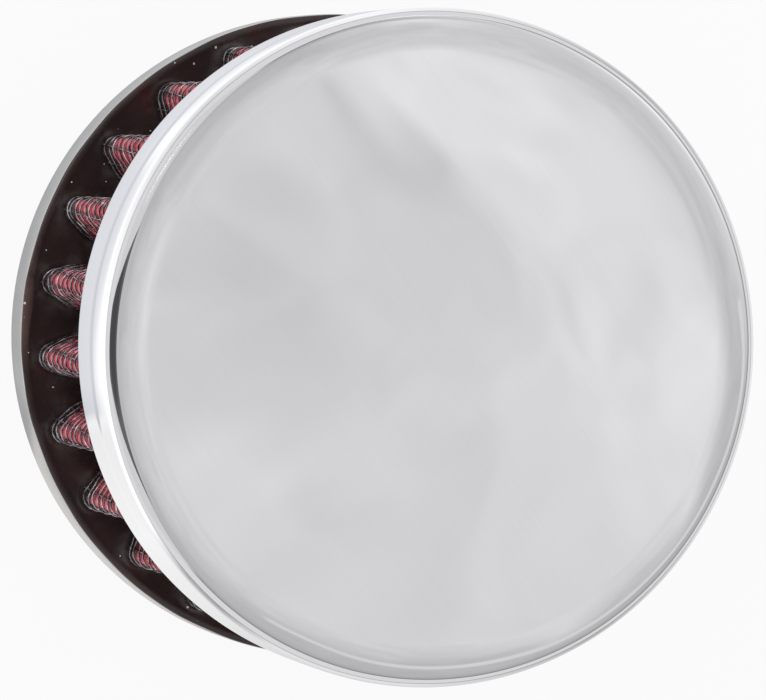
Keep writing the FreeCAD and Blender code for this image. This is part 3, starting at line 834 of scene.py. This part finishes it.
# cards that only reflections see, turned to the skirt's middle: lean in degrees from overhead to the
# camera's side, aside in degrees round from there, away in metres, wide and tall as half sizes. On a card,
# in shares of those, levels run out from the middle and spots are (x, y, reach, gain).
spotForm = {"slant": -50, "long": 1.4, "short": 0.8}
cards = [
    {"name": "overhead_scrim", "lean": -13.2, "aside": 0.0, "away": 1.0, "wide": 1.5, "tall": 1.5,
     "cloud": 0.05, "slope": 0.05,
     "levels": [(0.0, 0.765), (0.12, 0.765), (0.20, 0.68), (0.26, 0.565), (0.60, 0.49), (0.80, 0.36),
                (0.90, 0.215), (0.95, 0.215), (0.97, 0.8)],
     "spots": [(0.026, 0.098, 0.055, 0.18), (0.067, 0.078, 0.07, 0.16), (-0.012, 0.089, 0.045, -0.13),
               (-0.035, 0.069, 0.035, 0.07), (-0.124, 0.098, 0.06, -0.12), (0.026, 0.062, 0.05, -0.14),
               (0.131, 0.015, 0.09, 0.21), (-0.038, 0.017, 0.09, -0.17), (-0.11, -0.004, 0.06, 0.12),
               (0.097, 0.03, 0.035, -0.10), (-0.03, -0.061, 0.05, 0.08), (0.136, -0.044, 0.05, 0.06),
               (-0.02, 0.37, 0.2, 0.7), (0.36, 0.36, 0.45, 1.3), (0.235, -0.085, 0.12, 0.45),
               (0.175, -0.185, 0.12, 0.4), (0.15, 0.1, 0.06, -0.12), (0.0, 0.92, 0.4, 2.2)]},
    {"name": "rim_strip", "lean": -19.3, "aside": 0.0, "away": 0.97, "wide": 0.46, "tall": 0.395,
     "levels": [(0.0, 0.76)], "arc": {"inner": (0.94, 0.84), "turn": (-115, 20), "steps": 40}},
    {"name": "side_flag", "lean": 40.5, "aside": 6.0, "away": 0.6, "wide": 0.255, "tall": 0.15,
     "levels": [(0.0, 0.07), (0.7, 0.08), (0.95, 0.14)],
     "leaf": [(1.06, 0.92), (0.3, 0.82), (-0.6, 0.55), (-1.0, 0.3), (-1.0, -0.8), (0.0, -1.15),
              (1.3, -1.28), (1.06, -0.17)]},
    {"name": "side_panel", "lean": 40.5, "aside": 0.0, "away": 0.65, "wide": 0.26, "tall": 0.6,
     "levels": [(0.0, 0.72)]},
]


def cardSheet(card):  # a square, a leaf, or part of a ring whose inner radius changes from end to end
    if "arc" not in card:
        corners = card.get("leaf", [(-1, -1), (1, -1), (1, 1), (-1, 1)])
        return [(x, y, 0) for x, y in corners], [range(len(corners))]
    turns = np.radians(np.linspace(*card["arc"]["turn"], card["arc"]["steps"]))
    steps = zip(turns, np.linspace(*card["arc"]["inner"], card["arc"]["steps"]))
    points = [(r * math.cos(a), r * math.sin(a), 0) for a, inner in steps for r in (inner, 1.0)]
    return points, [(i, i + 1, i + 3, i + 2) for i in range(0, len(points) - 2, 2)]


def cardGlow(card):  # level by distance from the middle, uneven folds, brighter at the top, and soft spots
    material = bpy.data.materials.new(card["name"])
    tree = emptyTree(material)
    cloud, slope = card.get("cloud", 0.0), card.get("slope", 0.0)
    place = addNode(tree, "ShaderNodeTexCoord")
    here = {"Vector": (place, "Object")}
    ball = addNode(tree, "ShaderNodeTexGradient", {"gradient_type": "SPHERICAL"}, here)
    stops = [(1 - out, [level] * 3 + [1]) for out, level in card["levels"][::-1]]
    level = addNode(tree, "ShaderNodeValToRGB", {"stops": stops}, {"Fac": (ball, "Fac")})
    folds = addNode(tree, "ShaderNodeTexNoise", {"Scale": 20.0, "Detail": 1.0, "Distortion": 1.2}, here)
    uneven = addNode(tree, "ShaderNodeMapRange", {"From Min": 0.3, "From Max": 0.7, "To Min": 1 - cloud,
                     "To Max": 1 + cloud}, {"Value": (folds, "Fac")})
    split = addNode(tree, "ShaderNodeSeparateXYZ", links={0: (place, "Object")})
    tilt = addNode(tree, "ShaderNodeMapRange", {"From Min": -1.0, "To Min": 1 - slope, "To Max": 1 + slope},
                   {"Value": (split, "Y")})
    power = addNode(tree, "ShaderNodeMath", {"operation": "MULTIPLY"},
                    {0: (uneven, "Result"), 1: (tilt, "Result")})
    for x, y, reach, gain in card.get("spots", []):
        spot = addNode(tree, "ShaderNodeMapping", {"vector_type": "TEXTURE", "Location": (x, y, 0),
                       "Rotation": (0, 0, math.radians(spotForm["slant"])),
                       "Scale": (spotForm["long"] * reach, spotForm["short"] * reach, 1)}, here)
        soft = addNode(tree, "ShaderNodeTexGradient", {"gradient_type": "QUADRATIC_SPHERE"},
                       {"Vector": (spot, "Vector")})
        power = addNode(tree, "ShaderNodeMath", {"operation": "MULTIPLY_ADD", 1: gain},
                        {0: (soft, "Fac"), 2: (power, "Value")})
    glow = addNode(tree, "ShaderNodeEmission", links={"Color": (level, "Color"),
                                                      "Strength": (power, "Value")})
    addNode(tree, "ShaderNodeOutputMaterial", links={"Surface": (glow, "Emission")})
    return material


def studioCard(card):
    sheet = makePiece(card["name"], *cardSheet(card), cardGlow(card), False)
    lean, aside = math.radians(card["lean"]), math.radians(card["aside"])
    out = (math.sin(lean) * (math.cos(aside) * towards + math.sin(aside) * beside)
           + Vector((0, 0, math.cos(lean))))
    across = out.cross(beside).normalized()  # x runs to the picture's right on the scrim, and y up it
    turned = Matrix((across, out.cross(across), out)).transposed().to_4x4()
    sheet.matrix_world = (Matrix.Translation(skirtCentre + out * card["away"]) @ turned
                          @ Matrix.Diagonal((card["wide"], card["tall"], 1, 1)))
    for ray in ("camera", "diffuse", "shadow", "transmission"):
        setattr(sheet, "visible_" + ray, False)


# one soft square lamp, placed from the skirt's middle; its radiance is its brightness as seen in a mirror
lamp = {"towards": 0.7, "beside": -0.5, "above": 0.75, "size": 0.22, "radiance": 11.6}


def sideLamp():
    data = bpy.data.lights.new("side_lamp", "AREA")
    data.shape = "SQUARE"
    data.size = lamp["size"]
    data.energy = lamp["radiance"] * math.pi * lamp["size"] * lamp["size"]
    light = bpy.data.objects.new("side_lamp", data)
    light.location = (skirtCentre + lamp["towards"] * towards + lamp["beside"] * beside
                      + lamp["above"] * upward)
    light.rotation_euler = (skirtCentre - light.location).to_track_quat("-Z", "Y").to_euler()
    bpy.context.scene.collection.objects.link(light)


whiteSurround()
paleFloor()
for card in cards:
    studioCard(card)
sideLamp()
bpy.context.scene.view_settings.view_transform = "Standard"
print("studio made")
